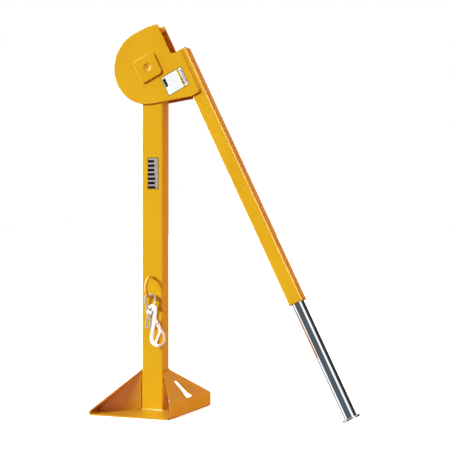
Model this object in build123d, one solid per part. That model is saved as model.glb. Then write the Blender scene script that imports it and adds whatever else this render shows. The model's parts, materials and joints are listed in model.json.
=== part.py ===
"""Lever-operated wire rope puller on a folded sheet-steel base.

The origin is the column's axis on the floor. +X points to the lever side, +Z is up, and -Y is the
front, where the keeper ring and the labels are. Lengths are in millimetres, angles in degrees.
"""
from build123d import *
from math import atan2, cos, degrees, pi, radians, sin, tan
import os

# ---- driving dimensions ------------------------------------------------------------------------
SHEET = 4.0                # base sheet thickness
BASE_HALF = 137.5          # half the base's width along Y
TOE_X = -134.5             # leftmost edge of the toe fold
FLANGE_X = 109.0           # outer face of the upright flange under the slot plate
FLANGE_FOOT = 101.0        # where the flange's lower fold meets the floor plate
FLANGE_TOP = 39.5          # where the flange folds into the slot plate
SKIRT_TOP = 114.0          # where both sloping plates meet the column
FOLD_R = 7.0               # outer radius of the sheet folds
GUSSET_NEAR = 18.0         # half distance between the toe gussets at the column
GUSSET_FAR = 84.0          # half distance between the toe gussets at the toe
WELD_R = 3.5               # radius of the base's rounded beads
FOOT_LEG = 5.0             # leg of the bead round the column's foot

SLOT_NARROW = 11.0         # half widths of the chain slot: upper end, lower end of the taper, mouth
SLOT_WIDE = 15.5
SLOT_MOUTH = 20.0
SLOT_START = 38.5          # distances down the slope from the seam: upper end, end of taper, foot
SLOT_TAPER_END = 85.5
SLOT_FOOT = 100.5

COLUMN_W = 66.0            # column tube along X
COLUMN_D = 40.0            # column tube along Y
COLUMN_WALL = 3.0
COLUMN_CORNER = 5.0
COLUMN_TOP = 981.0

PIVOT = (-9.5, 947.5)     # lever pivot, X and Z
LEVER_ANGLE = 26.2         # lever from the vertical, foot on the floor
LEVER_SIDE = 40.0
LEVER_WALL = 2.0
LEVER_CORNER = 4.0
LEVER_AXIS = 99.5          # distance from the pivot to the lever's centre line
LEVER_END = 760.0          # open mouth of the lever tube, measured down from the pivot

HEAD_CENTRE = (-1.0, 3.2)  # centre of the round side of the head plates, in the head's own frame
HEAD_R = 102.7             # its radius
TOP_FALL = 3.7             # degrees that the top edge falls towards the notch
TOP_BREAK = (49.0, 102.9)  # where the top edge starts to fall more steeply
TOP_CORNER = (76.0, 95.6)  # top of the notch's upright edge
HEAD_GAP = 42.0            # clear gap between the head plates
HEAD_PLATE = 5.0
NOTCH_X = 76.0             # upright edge of the rope notch
NOTCH_Y = -1.0             # floor of the rope notch
HEAD_RIGHT = 106.5
HEAD_BOTTOM = -132.0
HEAD_HEEL = 81.0           # where the sloping lower edge starts

BOSS_SIDE = 68.0
BOSS_PLATE = 6.0
PIN_R = 12.5
PIN_RECESS = 1.2           # depth of the pin's ends below the doublers' faces
PIN_FIT = 0.1              # radial clearance of the pin's bores in the head
BUSH_WALL = 3.5
WASHER_R = 27.0
RUN_FIT = 0.05             # radial clearance of turning and sliding fits

ROPE_PIN = (66.0, 86.0)    # rope pin centre in the head's own frame
ROPE_PIN_R = 7.0
STOP_BAR = (17.6, 48.0)    # left and right end of the stop bar along the head's top edge
STOP_PLATE = 5.0

HANDLE_R = 17.0
HANDLE_WALL = 2.0
HANDLE_TOP = 575.0         # upper end of the handle tube, measured down from the pivot
PLUG_PIN_DOWN = 26.0       # the guide plug's pin, below the handle tube's upper end
PLUG_PIN_R = 2.5
SPIGOT_FIT = 0.1           # radial clearance of the spigots in the handle tube
SPRING_UP = 15.0           # middle of the brake spring, above the handle tube's upper end
CAP_R = 24.0               # flange at the handle's foot
CAP_PLATE = 5.5
CAP_ROUND = 1.8
MOUTH_BUSH = (674.0, 754.0)
BUSH_SCREWS = (690.0, 738.0)
SCREW_R = 2.5
SCREW_HOLE_R = 2.6

RING_X = 3.0               # plane of the keeper ring
RING_ROD = 3.25            # rod radius
RING_TOP = 370.0           # where the ring's upper leg leaves the column
RING_DROP = 52.0           # the level lower leg, below the upper leg
SNAP_Y = -33.0             # plane of the snap hook
SNAP_TILT = 4.5            # the hook hangs this far out of plumb
HOOK_R = 16.0              # centre-line radius of the hook's bow
HOOK_WIRE = 2.75
HANG_ANGLE = 79.3          # where the bow bears on the ring, from the hook's own x direction
SHANK_X = -1.0             # swivel axis in the snap hook's frame
STEM_R = 2.0               # swivel stem
STEM_HEAD_R = 3.3
GATE_PIVOT = (7.0, -33.0)
GATE_TOP = (14.6, -3.6)
GATE_HALF = 2.0            # half the gate's thickness
RIVET_R = 1.5
EYE_WIRE = 2.25
CORD_R = 1.75              # half the thickness of the lanyard's solid
LABEL = 0.3

LANYARD_ROUTE = [
    (9.0, -25.0, 261.0), (4.5, -24.5, 272.0), (-0.5, -25.5, 283.0), (-2.0, -32.0, 289.0),
    (1.5, -39.0, 291.5), (10.0, -42.5, 294.0), (19.5, -42.5, 290.0), (20.0, -42.0, 276.0),
    (16.0, -41.5, 260.0), (13.5, -40.5, 244.0), (10.5, -39.5, 226.0), (6.0, -38.5, 208.0),
    (7.5, -37.5, 193.0), (18.5, -36.5, 185.0), (32.5, -36.0, 184.0), (43.5, -35.5, 193.0),
    (45.0, -35.0, 207.0), (39.5, -34.5, 221.0), (30.5, -33.5, 232.5), (20.5, -31.0, 242.0),
    (13.5, -27.5, 252.0),
]

OUT_DIR = "parts"
FROM_BASE = (Align.CENTER, Align.CENTER, Align.MIN)

# ---- derived frames ----------------------------------------------------------------------------
lever_dir = (cos(radians(LEVER_ANGLE)), sin(radians(LEVER_ANGLE)))
head_frame = Plane(
    origin=(PIVOT[0], 0, PIVOT[1]),
    x_dir=(lever_dir[0], 0, lever_dir[1]),
    z_dir=(0, -1, 0),
)
front_face = -COLUMN_D / 2
head_inner = HEAD_GAP / 2
head_outer = head_inner + HEAD_PLATE
boss_outer = head_outer + BOSS_PLATE
# The lowest point of the end cap's rounded rim touches the floor.
rim_lift = CAP_ROUND * (lever_dir[0] + lever_dir[1] - 1)
cap_end = (PIVOT[1] + (LEVER_AXIS - CAP_R) * lever_dir[1] + rim_lift) / lever_dir[0]
handle_end = cap_end - CAP_PLATE


def in_head(shape):
    """Place a shape drawn in the head's own frame (x outward, y up the lever, z to the front)."""
    return head_frame.location * shape


def save(shape, name):
    """Write one node as a STEP file."""
    export_step(shape, f"{OUT_DIR}/{name}.step")


def slab(sketch, low, high):
    """Extrude a sketch in the XY plane from one height to another."""
    return Pos(0, 0, low) * extrude(sketch, amount=high - low)


def side_profile(points, half_width):
    """Extrude an outline given as (X, Z) points along Y, the same distance to both sides."""
    face = Plane.XZ * make_face(Polyline(*points, close=True))
    return extrude(face, amount=half_width, both=True)


def plan_prism(points, height):
    """Extrude an outline given as (X, Y) points upward from the floor."""
    return extrude(make_face(Polyline(*points, close=True)), amount=height)


def rod(start, end, radius):
    """A round bar between two points."""
    axis = Vector(*end) - Vector(*start)
    return extrude(Plane(origin=start, z_dir=axis) * Circle(radius), amount=axis.length)


def square_tube(outer, wall, corner, length):
    """A hollow square section, drawn from z = 0 upward."""
    inner = outer - 2 * wall
    section = RectangleRounded(outer, outer, corner)
    section -= RectangleRounded(inner, inner, corner - wall)
    return extrude(section, amount=length)


# ---- base --------------------------------------------------------------------------------------
def toe_slope():
    """Slope of the toe plate: a line through the column seam, tangent to the toe fold."""
    run = -COLUMN_W / 2 - (TOE_X + FOLD_R)
    rise = SKIRT_TOP - FOLD_R
    reach = (run**2 + rise**2) ** 0.5
    return atan2(rise, run) - FOLD_R / reach


def skirt_under(x):
    """Height of the toe plate's underside at x."""
    slope = toe_slope()
    return SKIRT_TOP - (-COLUMN_W / 2 - x) * tan(slope) - SHEET / cos(slope)


def floor_plate():
    """Flat bottom of the base, between the two folds that it is welded to."""
    left = TOE_X + FOLD_R
    right = FLANGE_FOOT
    plan = [(left, -BASE_HALF), (right, -BASE_HALF), (right, BASE_HALF), (left, BASE_HALF)]
    return plan_prism(plan, SHEET)


def toe_plate():
    """Sloping plate on the toe side, folded under at the floor, narrow at the column."""
    slope = toe_slope()
    seam = -COLUMN_W / 2
    centre = (TOE_X + FOLD_R, FOLD_R)

    def on_fold(radius, angle):
        return (centre[0] + radius * cos(angle), centre[1] + radius * sin(angle))

    turn = radians(90) + slope
    middle = (turn + radians(270)) / 2
    outer = FOLD_R
    inner = FOLD_R - SHEET
    edges = [
        Line((seam, SKIRT_TOP), on_fold(outer, turn)),
        ThreePointArc(on_fold(outer, turn), on_fold(outer, middle), on_fold(outer, radians(270))),
        Line(on_fold(outer, radians(270)), on_fold(inner, radians(270))),
        ThreePointArc(on_fold(inner, radians(270)), on_fold(inner, middle), on_fold(inner, turn)),
        Line(on_fold(inner, turn), (seam, skirt_under(seam))),
        Line((seam, skirt_under(seam)), (seam, SKIRT_TOP)),
    ]
    sheet = extrude(Plane.XZ * make_face(edges), amount=BASE_HALF, both=True)
    half = COLUMN_D / 2
    wide = on_fold(outer, turn)[0]
    far = TOE_X - 1
    plan = [
        (seam, -half), (wide, -BASE_HALF), (far, -BASE_HALF),
        (far, BASE_HALF), (wide, BASE_HALF), (seam, half),
    ]
    keep = plan_prism(plan, SKIRT_TOP + 1)
    keep += plan_prism([(far, -BASE_HALF), (centre[0], -BASE_HALF),
                        (centre[0], BASE_HALF), (far, BASE_HALF)], 2 * FOLD_R)
    return sheet & keep


def chain_slot():
    """Tapered slot with a wide lower end, drawn down the slot plate's slope from the seam."""
    outline = Polyline(
        (SLOT_START, -SLOT_NARROW), (SLOT_TAPER_END, -SLOT_WIDE), (SLOT_TAPER_END, -SLOT_MOUTH),
        (SLOT_FOOT, -SLOT_MOUTH), (SLOT_FOOT, SLOT_MOUTH), (SLOT_TAPER_END, SLOT_MOUTH),
        (SLOT_TAPER_END, SLOT_WIDE), (SLOT_START, SLOT_NARROW), close=True,
    )
    sketch = make_face(outline)
    upper_end = sketch.vertices().sort_by(Axis.X)[:2]
    sketch = fillet(upper_end, 6.0)
    lower_corners = sketch.vertices().sort_by(Axis.X)[4:]
    return fillet(lower_corners, 2.0)


def slot_plate():
    """Sloping plate on the lever side with the chain slot, folded down and in under the base."""
    seam = COLUMN_W / 2
    fall = atan2(SKIRT_TOP - FLANGE_TOP, FLANGE_X - seam)
    inside = (FLANGE_X - SHEET, FLANGE_TOP - SHEET * (1 - sin(fall)) / cos(fall))
    profile = make_face(Polyline(
        (seam, SKIRT_TOP), (FLANGE_X, FLANGE_TOP), (FLANGE_X, 0), (FLANGE_FOOT, 0), (FLANGE_FOOT, SHEET),
        (FLANGE_X - SHEET, SHEET), inside, (seam, SKIRT_TOP - SHEET / cos(fall)), close=True,
    ))
    folds = [((FLANGE_X, FLANGE_TOP), FOLD_R), ((FLANGE_X, 0), FOLD_R),
             (inside, FOLD_R - SHEET), ((FLANGE_X - SHEET, SHEET), FOLD_R - SHEET)]
    for corner, radius in folds:
        profile = fillet(profile.vertices().sort_by_distance(corner)[0], radius)
    sheet = extrude(Plane.XZ * profile, amount=BASE_HALF, both=True)
    half = COLUMN_D / 2
    kink = FLANGE_X - 1
    far = FLANGE_X + 1
    plan = [
        (seam, -half), (kink, -BASE_HALF), (far, -BASE_HALF),
        (far, BASE_HALF), (kink, BASE_HALF), (seam, half),
    ]
    sheet &= plan_prism(plan, SKIRT_TOP + 1)
    slope_plane = Plane(
        origin=(seam, 0, SKIRT_TOP),
        x_dir=(cos(fall), 0, -sin(fall)),
        z_dir=(sin(fall), 0, cos(fall)),
    )
    cutter = extrude(slope_plane * chain_slot(), amount=3 * SHEET, both=True)
    return sheet - cutter


def gusset_line(side):
    """Plan line of a toe gusset: from the column's corner out to the toe fold."""
    start = (-COLUMN_W / 2, side * GUSSET_NEAR)
    end = (TOE_X + FOLD_R, side * GUSSET_FAR)
    return start, end


def toe_gusset(side):
    """Upright plate under the toe plate, running diagonally out from the column."""
    start, end = gusset_line(side)
    far = end[0]
    wedge = side_profile(
        [(start[0], SHEET), (far, SHEET), (far, skirt_under(far)), (start[0], skirt_under(start[0]))],
        BASE_HALF,
    )
    heading = degrees(atan2(end[1] - start[1], end[0] - start[0]))
    length = 2 * BASE_HALF
    plate = Pos(start[0], start[1], SKIRT_TOP / 2) * Rot(0, 0, heading)
    plate = plate * Box(2 * length, SHEET, 2 * SKIRT_TOP)
    half_plane = plan_prism(
        [(start[0], 0), (start[0] - length, 0), (start[0] - length, side * length),
         (start[0], side * length)],
        SKIRT_TOP,
    )
    return wedge & plate & half_plane


def column_tube():
    """Rectangular column, cross-drilled for the pivot bush."""
    section = RectangleRounded(COLUMN_W, COLUMN_D, COLUMN_CORNER)
    section -= RectangleRounded(
        COLUMN_W - 2 * COLUMN_WALL, COLUMN_D - 2 * COLUMN_WALL, COLUMN_CORNER - COLUMN_WALL)
    tube = Pos(0, 0, SHEET) * extrude(section, amount=COLUMN_TOP - SHEET)
    cross_hole = in_head(Cylinder(PIN_R + BUSH_WALL, 2 * COLUMN_D))
    return tube - cross_hole


def foot_weld():
    """Bead round the column's foot, as high up the column as it is wide on the floor plate."""
    skirt = extrude(
        RectangleRounded(
            COLUMN_W + 2 * FOOT_LEG, COLUMN_D + 2 * FOOT_LEG, COLUMN_CORNER + FOOT_LEG),
        amount=FOOT_LEG, taper=45,
    )
    core = extrude(RectangleRounded(COLUMN_W, COLUMN_D, COLUMN_CORNER), amount=2 * FOOT_LEG)
    return Pos(0, 0, SHEET) * (skirt - core)


def seam_bead(start, end, *cutters):
    """Rounded bead along a corner: a bar on the seam, less the plates that form the corner."""
    bead = rod(start, end, WELD_R)
    for cutter in cutters:
        bead -= cutter
    return bead


def base_welds(floor, toe, slot, column_block, gussets):
    """All beads of the base, as separate solids."""
    foot = foot_weld()
    for plate in gussets:
        foot -= plate
    beads = [foot]
    reach = COLUMN_D / 2 - COLUMN_CORNER
    for side, plate in ((-1, toe), (1, slot)):
        seam = side * COLUMN_W / 2
        beads.append(seam_bead((seam, -reach, SKIRT_TOP), (seam, reach, SKIRT_TOP),
                               column_block, plate))
    near = 8.0
    for side, plate in zip((-1, 1), gussets):
        start, end = gusset_line(side)
        line = Vector(end[0] - start[0], end[1] - start[1])
        along = line.normalized()
        # Half the sheet's thickness away from the middle plane, on the gusset's outer face.
        out = Vector(0, side, 0) - along * (side * along.Y)
        face_origin = Vector(start[0], start[1], SHEET) + out.normalized() * (SHEET / 2)
        first = face_origin + along * near
        last = face_origin + along * (line.length - near)
        beads.append(seam_bead(tuple(first), tuple(last), floor, plate, foot, toe))
    return Compound(children=beads)


# ---- pivot -------------------------------------------------------------------------------------
def ring_washer(outer, inner, low, high):
    """A flat ring between two heights along the pivot's axis."""
    return in_head(slab(Circle(outer) - Circle(inner), low, high))


def pivot_bush():
    """Cross tube welded through the column, bored for the pivot pin."""
    return ring_washer(PIN_R + BUSH_WALL, PIN_R + RUN_FIT, -COLUMN_D / 2, COLUMN_D / 2)


def thrust_washer(side):
    """Washer that keeps a head plate off the column."""
    low = COLUMN_D / 2
    high = head_inner - 2 * RUN_FIT
    if side < 0:
        low, high = -high, -low
    return ring_washer(WASHER_R, PIN_R + PIN_FIT, low, high)


def pivot_pin():
    """Plain pin, dished at both ends, that turns with the head."""
    length = 2 * (boss_outer - PIN_RECESS)
    ball_r = 16.0
    dish = 3.2
    pin = Cylinder(PIN_R, length)
    pin = chamfer(pin.edges().filter_by(GeomType.CIRCLE), 0.6)
    for side in (-1, 1):
        pin -= Pos(0, 0, side * (length / 2 + ball_r - dish)) * Sphere(ball_r)
    return in_head(pin)


def pin_weld(side):
    """Ring bead on the pin's end, in the doubler's bore, in the head's own frame."""
    width = 2.2
    height = PIN_RECESS - 0.2
    bead = Cylinder(PIN_R + PIN_FIT, height, align=FROM_BASE)
    bead -= Cone(PIN_R - width, PIN_R - width / 4, height, align=FROM_BASE)
    turn = Rot(0, 0, 0) if side > 0 else Rot(180, 0, 0)
    return turn * Pos(0, 0, boss_outer - PIN_RECESS) * bead


# ---- head --------------------------------------------------------------------------------------
def head_outline():
    """Head plate outline: round side, rope notch, lever side, sloping lower edge."""
    def on_round(angle):
        return (HEAD_CENTRE[0] + HEAD_R * cos(radians(angle)),
                HEAD_CENTRE[1] + HEAD_R * sin(radians(angle)))

    heel = (HEAD_HEEL - HEAD_CENTRE[0], HEAD_BOTTOM - HEAD_CENTRE[1])
    reach = (heel[0]**2 + heel[1]**2) ** 0.5
    half = degrees(atan2((reach**2 - HEAD_R**2) ** 0.5, HEAD_R))
    touch = degrees(atan2(heel[1], heel[0])) - half
    leave = 90 - TOP_FALL
    arc = CenterArc(HEAD_CENTRE, HEAD_R, leave, 360 + touch - leave)
    rest = Polyline(
        on_round(touch), (HEAD_HEEL, HEAD_BOTTOM), (HEAD_RIGHT, HEAD_BOTTOM),
        (HEAD_RIGHT, NOTCH_Y), (NOTCH_X, NOTCH_Y), TOP_CORNER, TOP_BREAK, on_round(leave),
    )
    sketch = make_face([arc] + list(rest.edges()))
    corners = [((NOTCH_X, NOTCH_Y), 11.0), (TOP_CORNER, 4.0), (TOP_BREAK, 40.0),
               ((HEAD_RIGHT, NOTCH_Y), 4.0), ((HEAD_RIGHT, HEAD_BOTTOM), 3.0)]
    for point, radius in corners:
        vertex = sketch.vertices().sort_by_distance(point)[0]
        sketch = fillet(vertex, radius)
    return sketch


def head_plate(side):
    """One cheek of the head, bored for the pin."""
    low = head_inner if side > 0 else -head_outer
    cheek = slab(head_outline() - Circle(PIN_R + PIN_FIT), low, low + HEAD_PLATE)
    outside = cheek.faces().sort_by(Axis.Z)[-1 if side > 0 else 0]
    cheek = chamfer(outside.edges(), 0.6)
    return in_head(cheek)


def boss_plate(side):
    """Square doubler round the pin."""
    low = head_outer if side > 0 else -boss_outer
    doubler = slab(RectangleRounded(BOSS_SIDE, BOSS_SIDE, 9), low, low + BOSS_PLATE)
    outside = doubler.faces().sort_by(Axis.Z)[-1 if side > 0 else 0]
    doubler = chamfer(outside.edges(), 1.2)
    doubler -= Cylinder(PIN_R + PIN_FIT, 2 * boss_outer + 2)
    return in_head(doubler)


def rope_pin():
    """Round bar between the cheeks that the rope's eye hangs on."""
    bar = slab(Pos(*ROPE_PIN) * Circle(ROPE_PIN_R), -head_inner, head_inner)
    return in_head(bar)


def stop_bar():
    """Flat bar between the cheeks under the top edge; it meets the column when the lever is up."""
    middle = sum(STOP_BAR) / 2
    edge_height = TOP_BREAK[1] + (TOP_BREAK[0] - middle) * tan(radians(TOP_FALL))
    section = Rot(0, 0, -TOP_FALL) * Rectangle(STOP_BAR[1] - STOP_BAR[0], STOP_PLATE)
    section = Pos(middle, edge_height - STOP_PLATE / 2 - 0.5) * section
    return in_head(slab(section, -head_inner, head_inner))


def lever_tube():
    """Square lever tube welded between the cheeks, open at the mouth."""
    tube = square_tube(LEVER_SIDE, LEVER_WALL, LEVER_CORNER, LEVER_END)
    tube = Pos(LEVER_AXIS, 0, 0) * Rot(90, 0, 0) * tube
    return in_head(tube - bush_screw_holes())


def cheek_weld(side):
    """Bead along a cheek's edge on the lever tube, in the head's own frame."""
    radius = 4.0
    clear_of_ends = 6.0
    top = NOTCH_Y - clear_of_ends
    length = top - (HEAD_BOTTOM + clear_of_ends)
    bead = Pos(HEAD_RIGHT, top, side * LEVER_SIDE / 2) * Rot(90, 0, 0) * Cylinder(
        radius, length, align=FROM_BASE)
    bead -= Pos(LEVER_AXIS, 0, 0) * Box(LEVER_SIDE, 2 * LEVER_END, LEVER_SIDE)
    block = 2 * radius
    cheek_block = Box(block, 2 * LEVER_END, block)
    bead -= Pos(HEAD_RIGHT - block / 2, 0, side * (head_inner + block / 2)) * cheek_block
    return bead


def head_welds():
    """Beads of the head: one along each cheek on the lever tube, one round each end of the pin."""
    beads = []
    for side in (-1, 1):
        beads.append(cheek_weld(side))
        beads.append(pin_weld(side))
    return in_head(Compound(children=beads))


# ---- telescopic handle -------------------------------------------------------------------------
def along_lever(sketch, top, bottom):
    """Extrude a sketch drawn across the lever, between two distances down from the pivot."""
    length = bottom - top
    return in_head(Pos(LEVER_AXIS, -top, 0) * Rot(90, 0, 0) * extrude(sketch, amount=length))


def at_back(down):
    """Frame on the lever's axis, at a distance down from the pivot, with z to the back."""
    return Pos(LEVER_AXIS, -down, 0) * Rot(180, 0, 0)


def bush_screw_holes():
    """Holes for the mouth bush's screws, in the head's own frame."""
    holes = [at_back(down) * Cylinder(SCREW_HOLE_R, LEVER_SIDE, align=FROM_BASE)
             for down in BUSH_SCREWS]
    return Compound(children=holes)


def mouth_bush():
    """Plastic guide in the lever's mouth: square outside, round inside."""
    inner = LEVER_SIDE - 2 * LEVER_WALL
    section = RectangleRounded(inner, inner, LEVER_CORNER - LEVER_WALL)
    section -= Circle(HANDLE_R + RUN_FIT)
    return along_lever(section, *MOUTH_BUSH) - in_head(bush_screw_holes())


def bush_screws():
    """Low-head screws through the back of the lever tube into the mouth bush."""
    face = LEVER_SIDE / 2
    tip = HANDLE_R + 0.4
    head_height = 2.2
    screws = []
    for down in BUSH_SCREWS:
        shank = Pos(0, 0, tip) * Cylinder(SCREW_R, face - tip, align=FROM_BASE)
        head = Pos(0, 0, face) * Cylinder(4.6, head_height, align=FROM_BASE)
        head = chamfer(head.edges().sort_by(Axis.Z)[-1], 1.0)
        head -= Pos(0, 0, face + 1.0) * extrude(RegularPolygon(1.7, 6), amount=head_height)
        screws.append(at_back(down) * (shank + head))
    return in_head(Compound(children=screws))


def handle_tube():
    """Chromed round tube that slides in the lever, drilled for the guide plug's pin."""
    tube = along_lever(Circle(HANDLE_R) - Circle(HANDLE_R - HANDLE_WALL), HANDLE_TOP, handle_end)
    return tube - plug_pin_bar(PLUG_PIN_R, 2 * HANDLE_R + 4)


def handle_end_cap():
    """Flanged end cap with a spigot in the tube."""
    bore = HANDLE_R - HANDLE_WALL - SPIGOT_FIT
    spigot = along_lever(Circle(bore), handle_end - 22, handle_end + 1)
    cap = along_lever(Circle(CAP_R), handle_end, cap_end)
    cap = fillet(cap.edges().filter_by(GeomType.CIRCLE), CAP_ROUND)
    return cap + spigot


def plug_pin_bar(radius, length):
    """Cross bar through the handle tube's upper end, front to back."""
    bar = Pos(LEVER_AXIS, -(HANDLE_TOP + PLUG_PIN_DOWN), 0) * Cylinder(radius, length)
    return in_head(bar)


def guide_plug():
    """Plastic slider on the handle's upper end: a square head that guides, a round spigot."""
    side = LEVER_SIDE - 2 * LEVER_WALL - 0.3
    bore = HANDLE_R - HANDLE_WALL - SPIGOT_FIT
    head = along_lever(RectangleRounded(side, side, 2), HANDLE_TOP - 2 * SPRING_UP, HANDLE_TOP)
    spigot = along_lever(Circle(bore), HANDLE_TOP - 1, HANDLE_TOP + 45)
    pocket = Pos(LEVER_AXIS - side / 2, -(HANDLE_TOP - SPRING_UP), 0) * Box(7, 26, 13)
    return head + spigot - plug_pin_bar(PLUG_PIN_R, 2 * HANDLE_R + 4) - in_head(pocket)


def plug_roll_pin():
    """Slotted spring pin that fixes the guide plug to the handle tube."""
    length = 2 * HANDLE_R - 1
    pin = plug_pin_bar(PLUG_PIN_R, length) - plug_pin_bar(PLUG_PIN_R - 0.9, length + 2)
    slit = Pos(LEVER_AXIS + 2, -(HANDLE_TOP + PLUG_PIN_DOWN), 0) * Box(2.4, 0.8, length + 2)
    return pin - in_head(slit)


def brake_spring():
    """Bowed leaf in the guide plug's pocket; it drags on the lever tube and holds the handle."""
    thickness = 0.8
    half = 12.5
    depth = 2.6
    half_width = 6.0
    wall = LEVER_AXIS - LEVER_SIDE / 2 + LEVER_WALL + RUN_FIT
    middle = -(HANDLE_TOP - SPRING_UP)
    outer = ThreePointArc((wall + depth, middle - half), (wall, middle), (wall + depth, middle + half))
    inner = ThreePointArc(
        (wall + depth + thickness, middle - half), (wall + thickness, middle),
        (wall + depth + thickness, middle + half))
    ends = [
        Line((wall + depth, middle - half), (wall + depth + thickness, middle - half)),
        Line((wall + depth, middle + half), (wall + depth + thickness, middle + half)),
    ]
    return in_head(slab(make_face([outer, inner] + ends), -half_width, half_width))


# ---- keeper ring and snap hook -----------------------------------------------------------------
def ring_points():
    """Bend points of the keeper ring: distance out from the column and height above its top leg."""
    return [(0.0, 0.0), (27.0, 2.5), (48.0, -18.0), (45.0, -36.0), (33.0, -RING_DROP),
            (0.0, -RING_DROP)]


def keeper_ring():
    """Bent rod welded to the front of the column at both ends, with a level leg for the hook."""
    route = [(RING_X, front_face - out, RING_TOP + up) for out, up in ring_points()]
    path = FilletPolyline(*route, radius=[14.0, 12.0, 12.0, 10.0])
    section = Plane(origin=route[0], z_dir=path % 0) * Circle(RING_ROD)
    ring = sweep(section, path)
    # The upper leg leaves at a slant, so its end is filled up to the column and cut flush.
    for out, up in (ring_points()[0], ring_points()[-1]):
        ring += Pos(RING_X, front_face - out + 1, RING_TOP + up) * Sphere(RING_ROD - 0.2)
    ring -= Pos(0, 0, RING_TOP) * Box(COLUMN_W, COLUMN_D, 4 * RING_DROP)
    return ring


def ring_welds():
    """Small round fillet beads where the keeper ring's legs meet the column."""
    beads = []
    leg = 2.4
    for out, up in (ring_points()[0], ring_points()[-1]):
        place = Pos(RING_X, front_face - out, RING_TOP + up) * Rot(90, 0, 0)
        beads.append(place * Cone(RING_ROD + leg, RING_ROD + 0.4, leg, align=FROM_BASE))
    return beads


def snap_frame():
    """Frame of the snap hook: origin at the bow's centre, y up the hook, z to the front."""
    rod_centre = (RING_X, SNAP_Y, RING_TOP - RING_DROP)
    hang = HOOK_R - HOOK_WIRE - RING_ROD - RUN_FIT
    hang_dir = (cos(radians(HANG_ANGLE)), sin(radians(HANG_ANGLE)))
    tilted = Plane(
        origin=rod_centre,
        x_dir=(cos(radians(SNAP_TILT)), 0, -sin(radians(SNAP_TILT))),
        z_dir=(0, -1, 0),
    )
    return tilted.location * Pos(-hang * hang_dir[0], -hang * hang_dir[1], 0)


def snap_hook_body():
    """Cast hook: round bow and arm, forked root for the gate, barrel for the swivel."""
    nose = 6.0
    arm_turn = 200.0
    bow = CenterArc((0, 0), HOOK_R, nose, arm_turn - nose)
    arm = Line(bow @ 1, (bow @ 1) + (bow % 1) * 30.0)
    section = Plane(origin=bow @ 0, z_dir=bow % 0) * Circle(HOOK_WIRE)
    body = sweep(section, Wire([bow.edge(), arm.edge()]))
    body += Pos(*(bow @ 0)) * Sphere(HOOK_WIRE)
    body += Pos(SHANK_X, -44.5, 0) * Rot(-90, 0, 0) * Cylinder(5.6, 9, align=FROM_BASE)
    web = make_face(Polyline((-8, -31), (-4.5, -27), (2, -28.5), (10, -30.5), (10.5, -35.5),
                             (3.5, -40), (-5.5, -40), close=True))
    web = fillet(web.vertices(), 1.6)
    body += slab(web, -4.2, 4.2)
    gate_room = Pos(*GATE_PIVOT) * Circle(6.5) + Pos(6, -24) * Rectangle(15, 14)
    body -= slab(gate_room, -GATE_HALF - 0.3, GATE_HALF + 0.3)
    body -= slab(Pos(*GATE_PIVOT) * Circle(RIVET_R), -10, 10)
    swivel = Pos(SHANK_X, -46, 0) * Rot(-90, 0, 0)
    body -= swivel * Cylinder(STEM_R + 0.1, 6, align=FROM_BASE)
    body -= Pos(SHANK_X, -41, 0) * Rot(-90, 0, 0) * Cylinder(
        STEM_HEAD_R + 0.3, 3.0, align=FROM_BASE)
    return snap_frame() * body


def snap_gate():
    """Sprung gate with its thumb tab."""
    heading = atan2(GATE_TOP[1] - GATE_PIVOT[1], GATE_TOP[0] - GATE_PIVOT[0])
    length = ((GATE_TOP[0] - GATE_PIVOT[0]) ** 2 + (GATE_TOP[1] - GATE_PIVOT[1]) ** 2) ** 0.5
    bar = Pos(length / 2, 0) * SlotCenterToCenter(length, 4.4)
    root = Circle(3.4)
    tab = Pos(length - 7, -3.2) * Rot(0, 0, 25) * RectangleRounded(9, 3.4, 1.5)
    sketch = bar + root + tab - Circle(RIVET_R + RUN_FIT)
    gate = Rot(0, 0, degrees(heading)) * slab(sketch, -GATE_HALF, GATE_HALF)
    return snap_frame() * (Pos(*GATE_PIVOT) * gate)


def gate_rivet():
    """Rivet through the fork that the gate turns on."""
    rivet = Cylinder(RIVET_R, 8.4)
    for side in (-1, 1):
        rivet += Pos(0, 0, side * 4.8) * Cylinder(2.5, 1.2)
    return snap_frame() * (Pos(*GATE_PIVOT) * rivet)


def gate_spring():
    """Leaf spring in the fork that presses the gate shut."""
    leaf = make_face(Polyline((-0.9, -28.2), (4.6, -24.2), (5.2, -25.0), (-0.3, -29.0), close=True))
    return snap_frame() * slab(leaf, -1.4, 1.4)


def swivel_eye():
    """Oblong eye with a headed stem that turns in the barrel."""
    half_width = 7.0
    half_straight = 6.8
    centre = -63.5
    eye = None
    for hand in (-1, 1):
        leg = Pos(hand * half_width, centre, 0) * Rot(90, 0, 0) * Cylinder(
            EYE_WIRE, 2 * half_straight)
        bend = Pos(0, centre + hand * half_straight, 0) * Torus(half_width, EYE_WIRE)
        bend &= Pos(0, centre + hand * (half_straight + 20), 0) * Box(60, 40, 20)
        eye = leg + bend if eye is None else eye + leg + bend
    top = centre + half_straight + half_width
    neck = Pos(0, top - 1.2, 0) * Rot(-90, 0, 0) * Cylinder(4.2, 4.4, align=FROM_BASE)
    stem = Pos(0, top, 0) * Rot(-90, 0, 0) * Cylinder(STEM_R, 10.0, align=FROM_BASE)
    head = Pos(0, -40.8, 0) * Rot(-90, 0, 0) * Cylinder(STEM_HEAD_R, 2.4, align=FROM_BASE)
    stem -= Pos(0, -30, 0) * Box(20, 16.8, 20)
    return snap_frame() * (Pos(SHANK_X, 0, 0) * (eye + neck + stem + head))


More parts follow.
